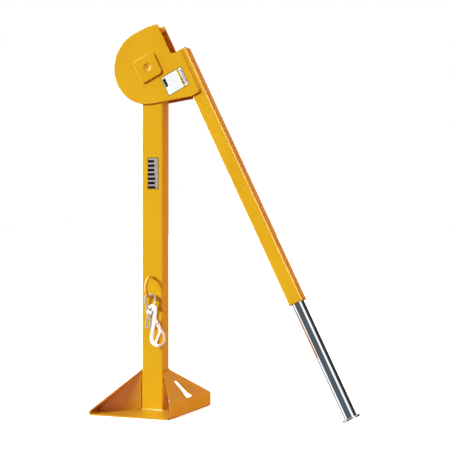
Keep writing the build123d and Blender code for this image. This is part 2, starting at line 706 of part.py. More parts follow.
# ---- lanyard -----------------------------------------------------------------------------------
def bend_radii(points):
    """Radius of each bend: 0.45 of the shorter run over the tangent of half the turn."""
    radii = []
    for before, here, after in zip(points, points[1:], points[2:]):
        run_in = Vector(*here) - Vector(*before)
        run_out = Vector(*after) - Vector(*here)
        half_turn = radians(run_in.get_angle(run_out)) / 2
        radii.append(0.45 * min(run_in.length, run_out.length) / tan(half_turn))
    return radii


def lanyard():
    """Plain tube along the webbing lanyard's route."""
    radii = bend_radii(LANYARD_ROUTE)
    print("lanyard bend radii", [round(r, 1) for r in radii])
    path = FilletPolyline(*LANYARD_ROUTE, radius=radii)
    section = Plane(origin=path @ 0, z_dir=path % 0) * Circle(CORD_R)
    tube = sweep(section, path)
    expected = pi * CORD_R**2 * path.length
    print("lanyard length", round(path.length, 1), "volume ratio", round(tube.volume / expected, 4))
    return tube


# ---- labels ------------------------------------------------------------------------------------
def head_label():
    """Sticker on the front cheek, beside the lever."""
    sticker = Pos(54.6, -71.8, 0) * RectangleRounded(67.8, 56.0, 2.5)
    return in_head(slab(sticker, head_outer, head_outer + LABEL))


def column_label():
    """Sticker on the front of the column."""
    return Pos(2.5, front_face - LABEL / 2, 657.0) * Box(33.0, LABEL, 87.0)


def main():
    os.makedirs(OUT_DIR, exist_ok=True)
    floor = floor_plate()
    toe = toe_plate()
    slot = slot_plate()
    gussets = [toe_gusset(side) for side in (-1, 1)]
    column_block = Pos(0, 0, SHEET) * extrude(
        RectangleRounded(COLUMN_W, COLUMN_D, COLUMN_CORNER), amount=COLUMN_TOP)
    ring = keeper_ring()
    save(floor, "floor_plate")
    save(toe, "toe_plate")
    save(slot, "slot_plate")
    save(gussets[0], "toe_gusset_front")
    save(gussets[1], "toe_gusset_back")
    save(column_tube(), "column_tube")
    save(base_welds(floor, toe, slot, column_block, gussets), "base_welds")
    save(pivot_bush(), "pivot_bush")
    save(thrust_washer(1), "thrust_washer_front")
    save(thrust_washer(-1), "thrust_washer_back")
    save(pivot_pin(), "pivot_pin")
    save(head_plate(1), "head_plate_front")
    save(head_plate(-1), "head_plate_back")
    save(boss_plate(1), "boss_plate_front")
    save(boss_plate(-1), "boss_plate_back")
    save(rope_pin(), "rope_pin")
    save(stop_bar(), "stop_bar")
    save(lever_tube(), "lever_tube")
    save(head_welds(), "head_welds")
    save(mouth_bush(), "mouth_bush")
    save(bush_screws(), "bush_screws")
    save(handle_tube(), "handle_tube")
    save(handle_end_cap(), "handle_end_cap")
    save(guide_plug(), "guide_plug")
    save(plug_roll_pin(), "plug_roll_pin")
    save(brake_spring(), "brake_spring")
    save(ring, "keeper_ring")
    save(Compound(children=[bead - ring for bead in ring_welds()]), "ring_welds")
    save(snap_hook_body(), "snap_hook_body")
    save(snap_gate(), "snap_gate")
    save(gate_rivet(), "gate_rivet")
    save(gate_spring(), "gate_spring")
    save(swivel_eye(), "swivel_eye")
    save(lanyard(), "lanyard")
    save(head_label(), "head_label")
    save(column_label(), "column_label")


main()
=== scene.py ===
"""Looks for the lever-operated rope puller: materials, weld beads, lanyard, floor, light and camera.

Everything is in metres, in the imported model's own frame: +X to the lever, -Y to the front, +Z up.
"""
import json
import math

import bmesh
import bpy
from mathutils import Matrix, Vector, noise


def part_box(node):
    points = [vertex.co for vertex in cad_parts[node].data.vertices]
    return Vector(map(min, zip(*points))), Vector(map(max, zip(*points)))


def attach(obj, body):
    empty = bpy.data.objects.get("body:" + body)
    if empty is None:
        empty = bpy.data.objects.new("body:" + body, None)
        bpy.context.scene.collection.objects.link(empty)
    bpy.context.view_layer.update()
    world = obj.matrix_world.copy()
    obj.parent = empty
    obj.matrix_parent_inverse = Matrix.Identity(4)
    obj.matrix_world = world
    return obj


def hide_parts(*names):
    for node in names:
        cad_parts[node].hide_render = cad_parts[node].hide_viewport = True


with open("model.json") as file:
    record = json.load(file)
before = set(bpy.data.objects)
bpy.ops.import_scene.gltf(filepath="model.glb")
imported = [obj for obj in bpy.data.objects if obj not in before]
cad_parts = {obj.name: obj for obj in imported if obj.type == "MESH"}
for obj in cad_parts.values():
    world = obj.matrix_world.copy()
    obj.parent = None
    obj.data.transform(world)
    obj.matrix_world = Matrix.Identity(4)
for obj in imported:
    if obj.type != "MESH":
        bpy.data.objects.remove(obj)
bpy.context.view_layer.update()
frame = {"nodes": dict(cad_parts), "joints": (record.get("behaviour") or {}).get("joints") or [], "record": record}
nodes = frame["nodes"]

MM = 0.001
UP = Vector((0, 0, 1))

# ---- camera ------------------------------------------------------------------------------------
CAMERA_PLACE = (1.4186, -3.0350, 0.5250)
CAMERA_TURN = 21.747          # degrees round the vertical
CAMERA_LENS = 96.53           # mm
SENSOR_WIDTH = 36.0           # mm
CAMERA_SHIFT = -0.0085
CAMERA_REACH = 100.0

# ---- lever directions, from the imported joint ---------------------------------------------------
slide = next(joint for joint in frame["joints"] if joint["name"] == "handle_slide")
down_lever = Vector(slide["axis"]).normalized()
out_lever = Vector((-down_lever.z, 0, down_lever.x))    # square to the lever, to the right and up

# ---- lanyard -----------------------------------------------------------------------------------
# The route is the same list as the CAD lanyard's, here in metres.
LANYARD_ROUTE = [
    (0.0090, -0.0250, 0.2610), (0.0045, -0.0245, 0.2720), (-0.0005, -0.0255, 0.2830),
    (-0.0020, -0.0320, 0.2890), (0.0015, -0.0390, 0.2915), (0.0100, -0.0425, 0.2940),
    (0.0195, -0.0425, 0.2900), (0.0200, -0.0420, 0.2760), (0.0160, -0.0415, 0.2600),
    (0.0135, -0.0405, 0.2440), (0.0105, -0.0395, 0.2260), (0.0060, -0.0385, 0.2080),
    (0.0075, -0.0375, 0.1930), (0.0185, -0.0365, 0.1850), (0.0325, -0.0360, 0.1840),
    (0.0435, -0.0355, 0.1930), (0.0450, -0.0350, 0.2070), (0.0395, -0.0345, 0.2210),
    (0.0305, -0.0335, 0.2325), (0.0205, -0.0310, 0.2420), (0.0135, -0.0275, 0.2520),
]
# A second strand inside the loop, where the webbing is doubled.
INNER_STRAND = [
    (0.0290, -0.0345, 0.2350), (0.0315, -0.0362, 0.2250), (0.0275, -0.0374, 0.2130),
    (0.0220, -0.0378, 0.2000), (0.0170, -0.0374, 0.1870),
]
# The webbing's twist along the loop: share of the length, degrees.
TWISTS = [(0, 0), (0.60, 0), (0.67, 32), (0.73, 58), (0.92, 58), (1, 0)]
NO_TWIST = [(0, 0), (1, 0)]

WEBBING_WIDTH = 10.5 * MM
WEBBING_THICK = 1.7 * MM
INNER_WIDTH = 7.0 * MM
INNER_THICK = WEBBING_THICK * 0.8
LAP_WIDTH = WEBBING_WIDTH * 0.99
LAP_THICK = WEBBING_THICK * 0.9
LAP_OFFSET = -WEBBING_THICK * 0.55      # through the tape, from its middle
LAP_REACH = 13                          # points of the loop's line under each end of the lap
ROUTE_STEPS = 12                        # the smooth line's points for each point of the route
SHORT_STEPS = 8                         # the same, for the inner strand and the lap

STITCH_ROW = 3.4 * MM                   # from the tape's middle line
STITCH_ZIG = 0.7 * MM
STITCH_STEP = 2                         # points of the lap's line
STITCH_MARGIN = 4                       # points left bare at each end of the lap
THREAD_RADIUS = 0.28 * MM

# ---- how widely the edges of each kind of piece look rounded ------------------------------------
PLATE_EDGE = 0.9 * MM
CHEEK_EDGE = 2.4 * MM
TUBE_EDGE = 4.5 * MM
METAL_EDGE = 0.35 * MM
NYLON_EDGE = 0.4 * MM


# ---- colours -----------------------------------------------------------------------------------
def srgb(red, green, blue):
    """Linear colour, with alpha, of an 8-bit sRGB colour."""
    def linear(value):
        value /= 255
        return value / 12.92 if value <= 0.04045 else ((value + 0.055) / 1.055) ** 2.4
    return (linear(red), linear(green), linear(blue), 1.0)


def grey(level):
    """A neutral colour of one linear level."""
    return (level, level, level, 1.0)


WHITE = grey(1.0)
PAINT = srgb(233, 175, 23)
PAINT_DEEP = srgb(227, 166, 19)
# Paler paint at edges: partly a thinner coat, partly a painted highlight.
PAINT_PALE = srgb(245, 200, 62)
# Painted shade: the dark red the paint turns to in nooks and recesses, and how far round it looks for nearby
# surfaces.
PAINTED_NOOK_SHADE = srgb(176, 62, 26)
NOOK_SHADE_REACH = 80 * MM

# Metals: colour, darker mottling, range of roughness, scale of the mottling, strength of the grain.
METALS = {
    "bare_steel": (srgb(176, 174, 170), srgb(140, 138, 134), (0.28, 0.42), 60.0, 0.4),
    "spring_steel": (srgb(120, 122, 126), srgb(92, 94, 98), (0.24, 0.36), 80.0, 0.3),
    "zinc_plate": (srgb(206, 208, 210), srgb(176, 180, 184), (0.22, 0.36), 90.0, 0.4),
    "hook_plate": (srgb(232, 233, 234), srgb(206, 208, 212), (0.07, 0.15), 120.0, 0.5),
}

# ---- labels, in millimetres from each label's centre: (middle, half size) of each area ----------
HEAD_LABEL = {
    "heading": ((-26.6, 10.0), (4.4, 12.8)),
    "text": ((-3.5, -1.0), (15.5, 24.0)),
    "strip": ((19.8, 0.0), (3.1, 26.5)),
    "marks": ((19.6, 6.0), (1.5, 17.0)),
    "rule": ((22.4, -11.0), (0.8, 12.0)),
    "spot": ((20.0, -14.5), (2.4, 2.2)),
    "sketch": ((28.2, 0.0), (3.4, 22.0)),
    "inside": ((0, 0), (32.2, 26.3)),
}
HEADING_PITCH = 8.4
HEADING_SLANT = 0.45
TEXT_PITCH = 2.9

COLUMN_LABEL = {
    "bars": ((-1.0, 0.0), (13.8, 41.4)),
    "inside": ((0, 0), (14.9, 41.8)),
}
BAR_PITCH = 12.0
BAR_START = -42.6


# ---- node helpers ------------------------------------------------------------------------------
def put(tree, socket, value):
    """Link a socket to another socket, or give it a plain value."""
    if isinstance(value, bpy.types.NodeSocket):
        tree.links.new(value, socket)
    else:
        socket.default_value = value


def add(tree, kind, inputs=None, **settings):
    """A new shader node, with its settings, and its inputs by name or number."""
    made = tree.nodes.new(kind)
    for name, value in settings.items():
        setattr(made, name, value)
    for name, value in (inputs or {}).items():
        put(tree, made.inputs[name], value)
    return made


def set_inputs(tree, shader, **values):
    """Set or link inputs of the Principled shader; underscores stand for spaces."""
    for name, value in values.items():
        put(tree, shader.inputs[name.replace("_", " ")], value)


def new_material(name):
    """An empty material with its Principled shader and output."""
    material = bpy.data.materials.new(name)
    material.use_nodes = True
    tree = material.node_tree
    tree.nodes.clear()
    shader = add(tree, "ShaderNodeBsdfPrincipled")
    add(tree, "ShaderNodeOutputMaterial", {"Surface": shader.outputs["BSDF"]})
    return material, tree, shader


def place_of(tree):
    """Position on the object, in metres."""
    return add(tree, "ShaderNodeTexCoord").outputs["Object"]


def noise_of(tree, scale, detail, at=None):
    """Noise value, 0 to 1."""
    inputs = {"Vector": at or place_of(tree), "Scale": scale, "Detail": detail}
    return add(tree, "ShaderNodeTexNoise", inputs).outputs["Fac"]


def noise_along(tree, value, scale, detail):
    """Noise value, 0 to 1, that changes with one number."""
    inputs = {"W": value, "Scale": scale, "Detail": detail}
    return add(tree, "ShaderNodeTexNoise", inputs, noise_dimensions="1D").outputs["Fac"]


def span(tree, value, source, to=(0.0, 1.0)):
    """A value mapped from one range to another, clamped."""
    inputs = {
        "Value": value, "From Min": source[0], "From Max": source[1], "To Min": to[0], "To Max": to[1],
    }
    return add(tree, "ShaderNodeMapRange", inputs).outputs["Result"]


def mix(tree, factor, first, second):
    """Colour mix. The node's inputs 6 and 7 and its output 2 are the ones for colours."""
    inputs = {0: factor, 6: first, 7: second}
    return add(tree, "ShaderNodeMix", inputs, data_type="RGBA").outputs[2]


def math_of(tree, operation, first, second=0.0, third=0.0):
    """A sum, product or comparison of values."""
    inputs = {0: first, 1: second, 2: third}
    return add(tree, "ShaderNodeMath", inputs, operation=operation).outputs[0]


def times(tree, first, second):
    """A product of two values, or where two masks overlap."""
    return math_of(tree, "MULTIPLY", first, second)


def outside(tree, mask):
    """1 where a mask is 0."""
    return math_of(tree, "SUBTRACT", 1.0, mask)


def dot(tree, first, second):
    """The dot product of two vectors."""
    inputs = {0: first, 1: second}
    made = add(tree, "ShaderNodeVectorMath", inputs, operation="DOT_PRODUCT")
    return made.outputs["Value"]


def soft_edge(tree, radius):
    """The surface normal, rounded over near sharp edges."""
    return add(tree, "ShaderNodeBevel", {"Radius": radius}, samples=6).outputs["Normal"]


def edge_mask(tree, rounded):
    """1 where the rounded normal leaves the true one, which is at edges."""
    true_normal = add(tree, "ShaderNodeNewGeometry").outputs["Normal"]
    return span(tree, dot(tree, rounded, true_normal), (0.985, 0.80))


def bump(tree, height, distance, strength, normal=None):
    """Bump whose height of 0 to 1 stands for a distance in metres."""
    inputs = {"Height": height, "Distance": distance, "Strength": strength}
    if normal is not None:
        inputs["Normal"] = normal
    return add(tree, "ShaderNodeBump", inputs).outputs["Normal"]


# ---- materials ---------------------------------------------------------------------------------
def yellow_paint(name, edge):
    """Baked powder coat with faint orange peel; edges rounded and paler, partly a thinner coat and partly a
    painted highlight; painted shade, dark red, in nooks.
    """
    material, tree, shader = new_material(name)
    broad = noise_of(tree, scale=7.0, detail=3.0)
    colour = mix(tree, span(tree, broad, (0.35, 0.65)), PAINT_DEEP, PAINT)
    rounded = soft_edge(tree, edge)
    # Paler edges, in patches: partly a thinner coat, partly a painted highlight.
    edge_patches = span(tree, noise_of(tree, scale=160.0, detail=4.0), (0.42, 0.62))
    worn_and_highlit = times(tree, edge_mask(tree, rounded), edge_patches)
    colour = mix(tree, times(tree, worn_and_highlit, 0.25), colour, PAINT_PALE)
    # Painted shade: darker red where nearby surfaces close the paint in.
    openness = add(tree, "ShaderNodeAmbientOcclusion", {"Distance": NOOK_SHADE_REACH}, samples=8)
    nook_shade = span(tree, openness.outputs["AO"], (0.10, 0.55), to=(0.80, 0.0))
    colour = mix(tree, nook_shade, colour, PAINTED_NOOK_SHADE)
    peel = noise_of(tree, scale=620.0, detail=2.0)
    fine = noise_of(tree, scale=2400.0, detail=1.0)
    height = math_of(tree, "ADD", peel, times(tree, fine, 0.25))
    sheen = noise_of(tree, scale=35.0, detail=4.0)
    set_inputs(
        tree, shader, Base_Color=colour,
        Roughness=span(tree, sheen, (0.3, 0.7), to=(0.30, 0.42)),
        Normal=bump(tree, height, distance=0.10 * MM, strength=0.55, normal=rounded),
        Specular_IOR_Level=0.45, Specular_Tint=(1.0, 0.76, 0.32, 1.0),
        Coat_Weight=0.7, Coat_Roughness=0.16,
    )
    return material


def metal(name, colour, dark, roughness, mottling, grain):
    """A plated or bare metal with faint mottling and fine grain."""
    material, tree, shader = new_material(name)
    mottle = noise_of(tree, scale=mottling, detail=4.0)
    fine = noise_of(tree, scale=900.0, detail=2.0)
    rounded = soft_edge(tree, METAL_EDGE)
    set_inputs(
        tree, shader, Metallic=1.0,
        Base_Color=mix(tree, span(tree, mottle, (0.3, 0.7)), dark, colour),
        Roughness=span(tree, mottle, (0.3, 0.7), to=roughness),
        Normal=bump(tree, fine, distance=0.05 * MM, strength=grain, normal=rounded),
    )
    return material


def chrome_plate():
    """Bright chrome with a very faint draw texture, drawn out 40 times along the tube."""
    material, tree, shader = new_material("chrome_plate")
    lengthwise = {
        "Vector": place_of(tree),
        "Rotation": (0, -math.atan2(out_lever.z, out_lever.x), 0),
        "Scale": (1, 1, 40),
    }
    along = add(tree, "ShaderNodeMapping", lengthwise, vector_type="TEXTURE").outputs["Vector"]
    streaks = noise_of(tree, scale=300.0, detail=3.0, at=along)
    smudge = noise_of(tree, scale=22.0, detail=4.0)
    tint = span(tree, smudge, (0.35, 0.7))
    set_inputs(
        tree, shader, Metallic=1.0,
        Base_Color=mix(tree, tint, srgb(226, 229, 232), srgb(240, 241, 243)),
        Roughness=span(tree, smudge, (0.35, 0.75), to=(0.045, 0.10)),
        Normal=bump(tree, streaks, distance=0.02 * MM, strength=0.25),
    )
    return material


def nylon():
    """Black moulded guide plastic."""
    material, tree, shader = new_material("nylon")
    grain = noise_of(tree, scale=1400.0, detail=2.0)
    broad = noise_of(tree, scale=40.0, detail=3.0)
    rounded = soft_edge(tree, NYLON_EDGE)
    set_inputs(
        tree, shader,
        Base_Color=mix(tree, broad, srgb(18, 18, 19), srgb(34, 34, 35)),
        Roughness=span(tree, grain, (0.3, 0.7), to=(0.42, 0.55)),
        Normal=bump(tree, grain, distance=0.06 * MM, strength=0.5, normal=rounded),
    )
    return material


def webbing():
    """White woven tape: the weave runs along the tape's own coordinates."""
    material, tree, shader = new_material("webbing")
    across_along = add(tree, "ShaderNodeUVMap", uv_map="tape").outputs["UV"]
    split = add(tree, "ShaderNodeSeparateXYZ", {"Vector": across_along})
    rib_pitch = 0.9 * MM
    rib = 2 * math.pi / rib_pitch
    warp = math_of(tree, "SINE", times(tree, split.outputs["X"], rib * 0.75))
    weft = math_of(tree, "SINE", times(tree, split.outputs["Y"], rib))
    weave = math_of(tree, "ADD", *[math_of(tree, "ABSOLUTE", wave) for wave in (warp, weft)])
    thread = mix(tree, span(tree, weave, (0.3, 1.6)), srgb(243, 238, 232), srgb(255, 254, 252))
    soil = span(tree, noise_of(tree, scale=90.0, detail=4.0), (0.45, 0.8), to=(0, 0.35))
    set_inputs(
        tree, shader, Base_Color=mix(tree, soil, thread, srgb(240, 232, 220)), Roughness=0.82,
        Normal=bump(tree, weave, distance=0.15 * MM, strength=0.6),
        Sheen_Weight=0.25, Sheen_Roughness=0.5,
    )
    return material


def stitch_thread():
    """Twisted white sewing thread."""
    material, tree, shader = new_material("stitch_thread")
    twist = noise_of(tree, scale=3000.0, detail=1.0)
    set_inputs(
        tree, shader, Base_Color=mix(tree, twist, srgb(196, 198, 200), srgb(240, 240, 238)),
        Roughness=0.7, Normal=bump(tree, twist, distance=0.08 * MM, strength=0.8),
    )
    return material


def label_plane(tree, node, right, up):
    """Position on a label in millimetres from its centre, as (to the right, up)."""
    low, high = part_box(node)
    inputs = {0: place_of(tree), 1: (low + high) / 2}
    shifted = add(tree, "ShaderNodeVectorMath", inputs, operation="SUBTRACT").outputs["Vector"]
    return [dot(tree, shifted, tuple(axis / MM)) for axis in (right, up)]


def patch(tree, u, v, middle, half):
    """1 inside a rectangle of the label."""
    inside = []
    for value, centre, reach in ((u, middle[0], half[0]), (v, middle[1], half[1])):
        distance = math_of(tree, "ABSOLUTE", math_of(tree, "SUBTRACT", value, centre))
        inside.append(math_of(tree, "LESS_THAN", distance, reach))
    return times(tree, *inside)


def stripes(tree, rows, share):
    """1 on the first share of each row, where rows counts them."""
    return math_of(tree, "LESS_THAN", math_of(tree, "FRACT", rows), share)


def dashes(tree, value, pitch, share, seed):
    """Uneven dashes along one direction, like print too small to read."""
    level = noise_along(tree, math_of(tree, "DIVIDE", value, pitch), scale=1.0, detail=1.0)
    return stripes(tree, times(tree, math_of(tree, "ADD", level, seed), 3.0), share)


def print_on(tree, shader, ground, layers):
    """Inks over a ground colour, each where its mask is 1, under a glossy film."""
    colour = ground
    for mask, ink in layers:
        colour = mix(tree, mask, colour, ink)
    waviness = noise_of(tree, scale=60.0, detail=2.0)
    set_inputs(
        tree, shader, Base_Color=colour, Roughness=0.28, Specular_IOR_Level=0.3,
        Normal=bump(tree, waviness, distance=0.15 * MM, strength=0.2),
    )


def head_label_film():
    """White sticker: a black heading block, pale rows of print, a yellow strip, grey sketches."""
    material, tree, shader = new_material("head_label_film")
    u, v = label_plane(tree, "head_label", out_lever, -down_lever)
    area = {name: patch(tree, u, v, *place) for name, place in HEAD_LABEL.items()}
    slanted = math_of(tree, "ADD", v, times(tree, u, HEADING_SLANT))
    heading = stripes(tree, math_of(tree, "DIVIDE", slanted, HEADING_PITCH), 0.97)
    rows = stripes(tree, math_of(tree, "DIVIDE", u, TEXT_PITCH), 0.42)
    words = times(tree, rows, dashes(tree, v, pitch=1.5, share=0.7, seed=0.5))
    marks = dashes(tree, v, pitch=2.2, share=0.42, seed=0.9)
    lines = span(tree, noise_of(tree, scale=420.0, detail=3.0), (0.48, 0.50))
    white, black = srgb(254, 253, 254), srgb(16, 15, 16)
    print_on(tree, shader, white, [
        (times(tree, area["heading"], heading), black),
        (times(tree, times(tree, area["text"], words), 0.55), srgb(150, 150, 156)),
        (area["strip"], srgb(240, 190, 40)),
        (times(tree, area["marks"], marks), black),
        (area["rule"], black),
        (area["spot"], black),
        (times(tree, area["sketch"], lines), srgb(110, 110, 118)),
        (outside(tree, area["inside"]), srgb(70, 62, 40)),
    ])
    return material


def column_label_film():
    """Silver sticker with black bars whose right ends are ragged."""
    material, tree, shader = new_material("column_label_film")
    u, v = label_plane(tree, "column_label", Vector((1, 0, 0)), UP)
    area = {name: patch(tree, u, v, *place) for name, place in COLUMN_LABEL.items()}
    row = math_of(tree, "DIVIDE", math_of(tree, "SUBTRACT", v, BAR_START), BAR_PITCH)
    ragged = noise_along(tree, math_of(tree, "FLOOR", row), scale=3.7, detail=2.0)
    lean = math_of(tree, "MULTIPLY_ADD", v, -0.04, -0.5)
    right_end = math_of(tree, "ADD", lean, times(tree, ragged, 12.0))
    bars = times(tree, stripes(tree, row, 0.60), math_of(tree, "LESS_THAN", u, right_end))
    print_on(tree, shader, srgb(176, 162, 154), [
        (times(tree, bars, area["bars"]), srgb(10, 9, 10)),
        (outside(tree, area["inside"]), srgb(92, 70, 26)),
    ])
    return material


# ---- which node has which finish ---------------------------------------------------------------
plate_paint = yellow_paint("yellow_paint", PLATE_EDGE)
tube_paint = yellow_paint("yellow_paint_tubes", TUBE_EDGE)
cheek_paint = yellow_paint("yellow_paint_cheeks", CHEEK_EDGE)
finishes = {name: metal(name, *look) for name, look in METALS.items()}
finishes.update({
    "yellow_paint": plate_paint,
    "chrome_plate": chrome_plate(),
    "nylon": nylon(),
    "webbing": webbing(),
})
special = {
    "head_label": head_label_film(),
    "column_label": column_label_film(),
    "pivot_pin": plate_paint,
    "lever_tube": tube_paint,
    "column_tube": tube_paint,
    "head_plate_front": cheek_paint,
    "head_plate_back": cheek_paint,
}
slot_of = {part["node"]: part["material_slot"] for part in frame["record"]["subparts"]}

for node, solid in nodes.items():
    solid.data.materials.clear()
    solid.data.materials.append(special.get(node) or finishes[slot_of[node]])


def placed(name, data):
    """A new object in the scene."""
    made = bpy.data.objects.new(name, data)
    bpy.context.scene.collection.objects.link(made)
    return made


# ---- weld beads --------------------------------------------------------------------------------
# Each group of beads: the body it rides on, voxel size, ripple pitch and ripple height.
WELDS = {
    "base_welds": ("stand", 0.70 * MM, 3.4 * MM, 0.40 * MM),
    "head_welds": ("lever", 0.50 * MM, 3.2 * MM, 0.03 * MM),
    "ring_welds": ("stand", 0.35 * MM, 2.2 * MM, 0.20 * MM),
}
RING_FLATNESS = 3             # a bead this many times wider than it is thin is a ring
RIPPLE_BOW = 0.35             # how far a ripple shifts along the bead, away from its middle line
MEAN_WAVE = 0.75              # taken off each ripple, so that a bead keeps its size


def islands(mesh):
    """Vertex groups of the separate closed shells in a mesh."""
    mesh.verts.ensure_lookup_table()
    seen = set()
    for start in mesh.verts:
        if start.index in seen:
            continue
        group, todo = [], [start]
        seen.add(start.index)
        while todo:
            vertex = todo.pop()
            group.append(vertex)
            for edge in vertex.link_edges:
                other = edge.other_vert(vertex)
                if other.index not in seen:
                    seen.add(other.index)
                    todo.append(other)
        yield group


def remeshed_copy(node, voxel):
    """A new piece with the node's plain beads as a fine, even mesh."""
    piece = placed(node + "_rippled", nodes[node].data.copy())
    remesh = piece.modifiers.new("remesh", "REMESH")
    remesh.mode = "VOXEL"
    remesh.voxel_size = voxel
    graph = bpy.context.evaluated_depsgraph_get()
    fine = bpy.data.meshes.new_from_object(piece.evaluated_get(graph))
    piece.modifiers.clear()
    piece.data = fine
    return piece


def ripple(group, pitch, height):
    """Raise ripples along one bead, or round it where it is a flat ring."""
    low = Vector([min(v.co[i] for v in group) for i in range(3)])
    high = Vector([max(v.co[i] for v in group) for i in range(3)])
    size = high - low
    middle = (low + high) / 2
    along = size.normalized()
    thin = min(range(3), key=lambda i: size[i])
    first, second = [i for i in range(3) if i != thin]
    is_ring = min(size[first], size[second]) > RING_FLATNESS * size[thin]
    mean_radius = (size[first] + size[second]) / 4
    for vertex in group:
        spot = vertex.co - middle
        if is_ring:
            travel = math.atan2(spot[second], spot[first]) * mean_radius
        else:
            travel = spot.dot(along)
            travel += RIPPLE_BOW * (spot - along * travel).length
        drift = noise.noise(vertex.co * 120.0) * 0.6 * pitch
        wave = abs(math.sin(math.pi * (travel + drift) / pitch))
        lump = noise.noise(vertex.co * 260.0) * 0.35
        vertex.co += vertex.normal * height * (wave - MEAN_WAVE + lump)


def rippled_welds(node, body, voxel, pitch, height):
    """Weld beads with overlapping ripples, which stand for the plain CAD beads."""
    piece = remeshed_copy(node, voxel)
    mesh = piece.data
    shell = bmesh.new()
    shell.from_mesh(mesh)
    shell.normal_update()
    for group in islands(shell):
        ripple(group, pitch, height)
    shell.to_mesh(mesh)
    shell.free()
    for face in mesh.polygons:
        face.use_smooth = True
    mesh.materials.clear()
    mesh.materials.append(plate_paint)
    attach(piece, body)
    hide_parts(node)
    return piece


beads = {node: rippled_welds(node, *look) for node, look in WELDS.items()}


# ---- lanyard -----------------------------------------------------------------------------------
SELVEDGE_TURN = 36            # degrees between points round the tape's rounded selvedge
FLAT_SPANS = 6                # across a flat face of the tape
NORMAL_PASSES = 6             # how often the tape's normals are smoothed
LIFT = 0.9                    # how much the tape faces up where it runs towards the view
THREAD_SPANS = 6              # along one stitch
THREAD_SIDES = 6
THREAD_ARCH = 1.4             # thread radii
THREAD_SINK = 0.5             # thread radii


def route_line(points, steps):
    """Points along the smooth spline that has the route as its control points."""
    curve = bpy.data.curves.new("route", "CURVE")
    curve.dimensions = "3D"
    spline = curve.splines.new("NURBS")
    spline.points.add(len(points) - 1)
    for control, place in zip(spline.points, points):
        control.co = (*place, 1.0)
    spline.order_u = 3
    spline.use_endpoint_u = True
    spline.resolution_u = steps
    holder = placed("route", curve)
    graph = bpy.context.evaluated_depsgraph_get()
    line = bpy.data.meshes.new_from_object(holder.evaluated_get(graph))
    found = [v.co.copy() for v in line.vertices]
    bpy.data.objects.remove(holder)
    return found


def twist_at(share, twists):
    """The tape's twist in radians at a share of its length, between the listed ones."""
    for (low, first), (high, last) in zip(twists, twists[1:]):
        if share <= high:
            return math.radians(first + (last - first) * (share - low) / (high - low))
    return math.radians(twists[-1][1])


def smoothed(frames):
    """The same frames, each normal blended with its neighbours'."""
    smooth = []
    for i, (far, tangent, normal) in enumerate(frames):
        blend = frames[max(i - 1, 0)][2] + frames[min(i + 1, len(frames) - 1)][2] + normal * 2
        blend -= tangent * blend.dot(tangent)
        smooth.append((far, tangent, blend.normalized()))
    return smooth


def tape_frames(line, twists):
    """Travelled length, tangent and flat-face normal at each point of the tape."""
    turn = math.radians(CAMERA_TURN)
    toward_view = Vector((math.sin(turn), -math.cos(turn), 0))
    frames, travelled = [], 0.0
    for i, here in enumerate(line):
        before, after = line[max(i - 1, 0)], line[min(i + 1, len(line) - 1)]
        tangent = (after - before).normalized()
        if i:
            travelled += (here - line[i - 1]).length
        head_on = tangent.dot(toward_view)
        lift = UP - tangent * tangent.dot(UP)
        normal = toward_view - tangent * head_on + lift * LIFT * head_on ** 2
        twist = Matrix.Rotation(twist_at(i / (len(line) - 1), twists), 3, tangent)
        frames.append((travelled, tangent, twist @ normal.normalized()))
    for _ in range(NORMAL_PASSES):
        frames = smoothed(frames)
    return frames


def tape_section(width, thick):
    """Outline of the tape, as (across, through): flat faces and rounded selvedges."""
    radius = thick / 2
    flat = width / 2 - radius
    turns = [math.radians(degrees) for degrees in range(-90, 91, SELVEDGE_TURN)]
    edge = [(math.cos(turn) * radius, math.sin(turn) * radius) for turn in turns]
    right = [(flat + x, y) for x, y in edge]
    left = [(-flat - x, -y) for x, y in edge]
    across = [flat * (1 - 2 * k / FLAT_SPANS) for k in range(1, FLAT_SPANS)]
    top = [(x, radius) for x in across]
    under = [(-x, -radius) for x in across]
    return right + top + left + under


def finished_piece(name, shell, material):
    """A piece made from a closed shell, with one material."""
    bmesh.ops.recalc_face_normals(shell, faces=shell.faces)
    mesh = bpy.data.meshes.new(name)
    shell.to_mesh(mesh)
    shell.free()
    mesh.materials.append(material)
    return placed(name, mesh)


def sweep_tape(name, line, frames, width, thick, offset=0.0):
    """A closed tape along a line, with tape coordinates in metres as its UV map."""
    section = tape_section(width, thick)
    shell = bmesh.new()
    tape_map = shell.loops.layers.uv.new("tape")
    rings = []
    for here, (_, tangent, normal) in zip(line, frames):
        across = tangent.cross(normal).normalized()
        corners = [here + across * x + normal * (y + offset) for x, y in section]
        rings.append([shell.verts.new(corner) for corner in corners])
    count = len(section)
    for i in range(len(rings) - 1):
        for k in range(count):
            n = (k + 1) % count
            face = shell.faces.new((rings[i][k], rings[i + 1][k], rings[i + 1][n], rings[i][n]))
            spots = ((i, k), (i + 1, k), (i + 1, n), (i, n))
            for loop, (ring, side) in zip(face.loops, spots):
                loop[tape_map].uv = (section[side][0], frames[ring][0])
            face.smooth = True
    for end in (rings[0], rings[-1]):
        shell.faces.new(end)
    return finished_piece(name, shell, finishes["webbing"])


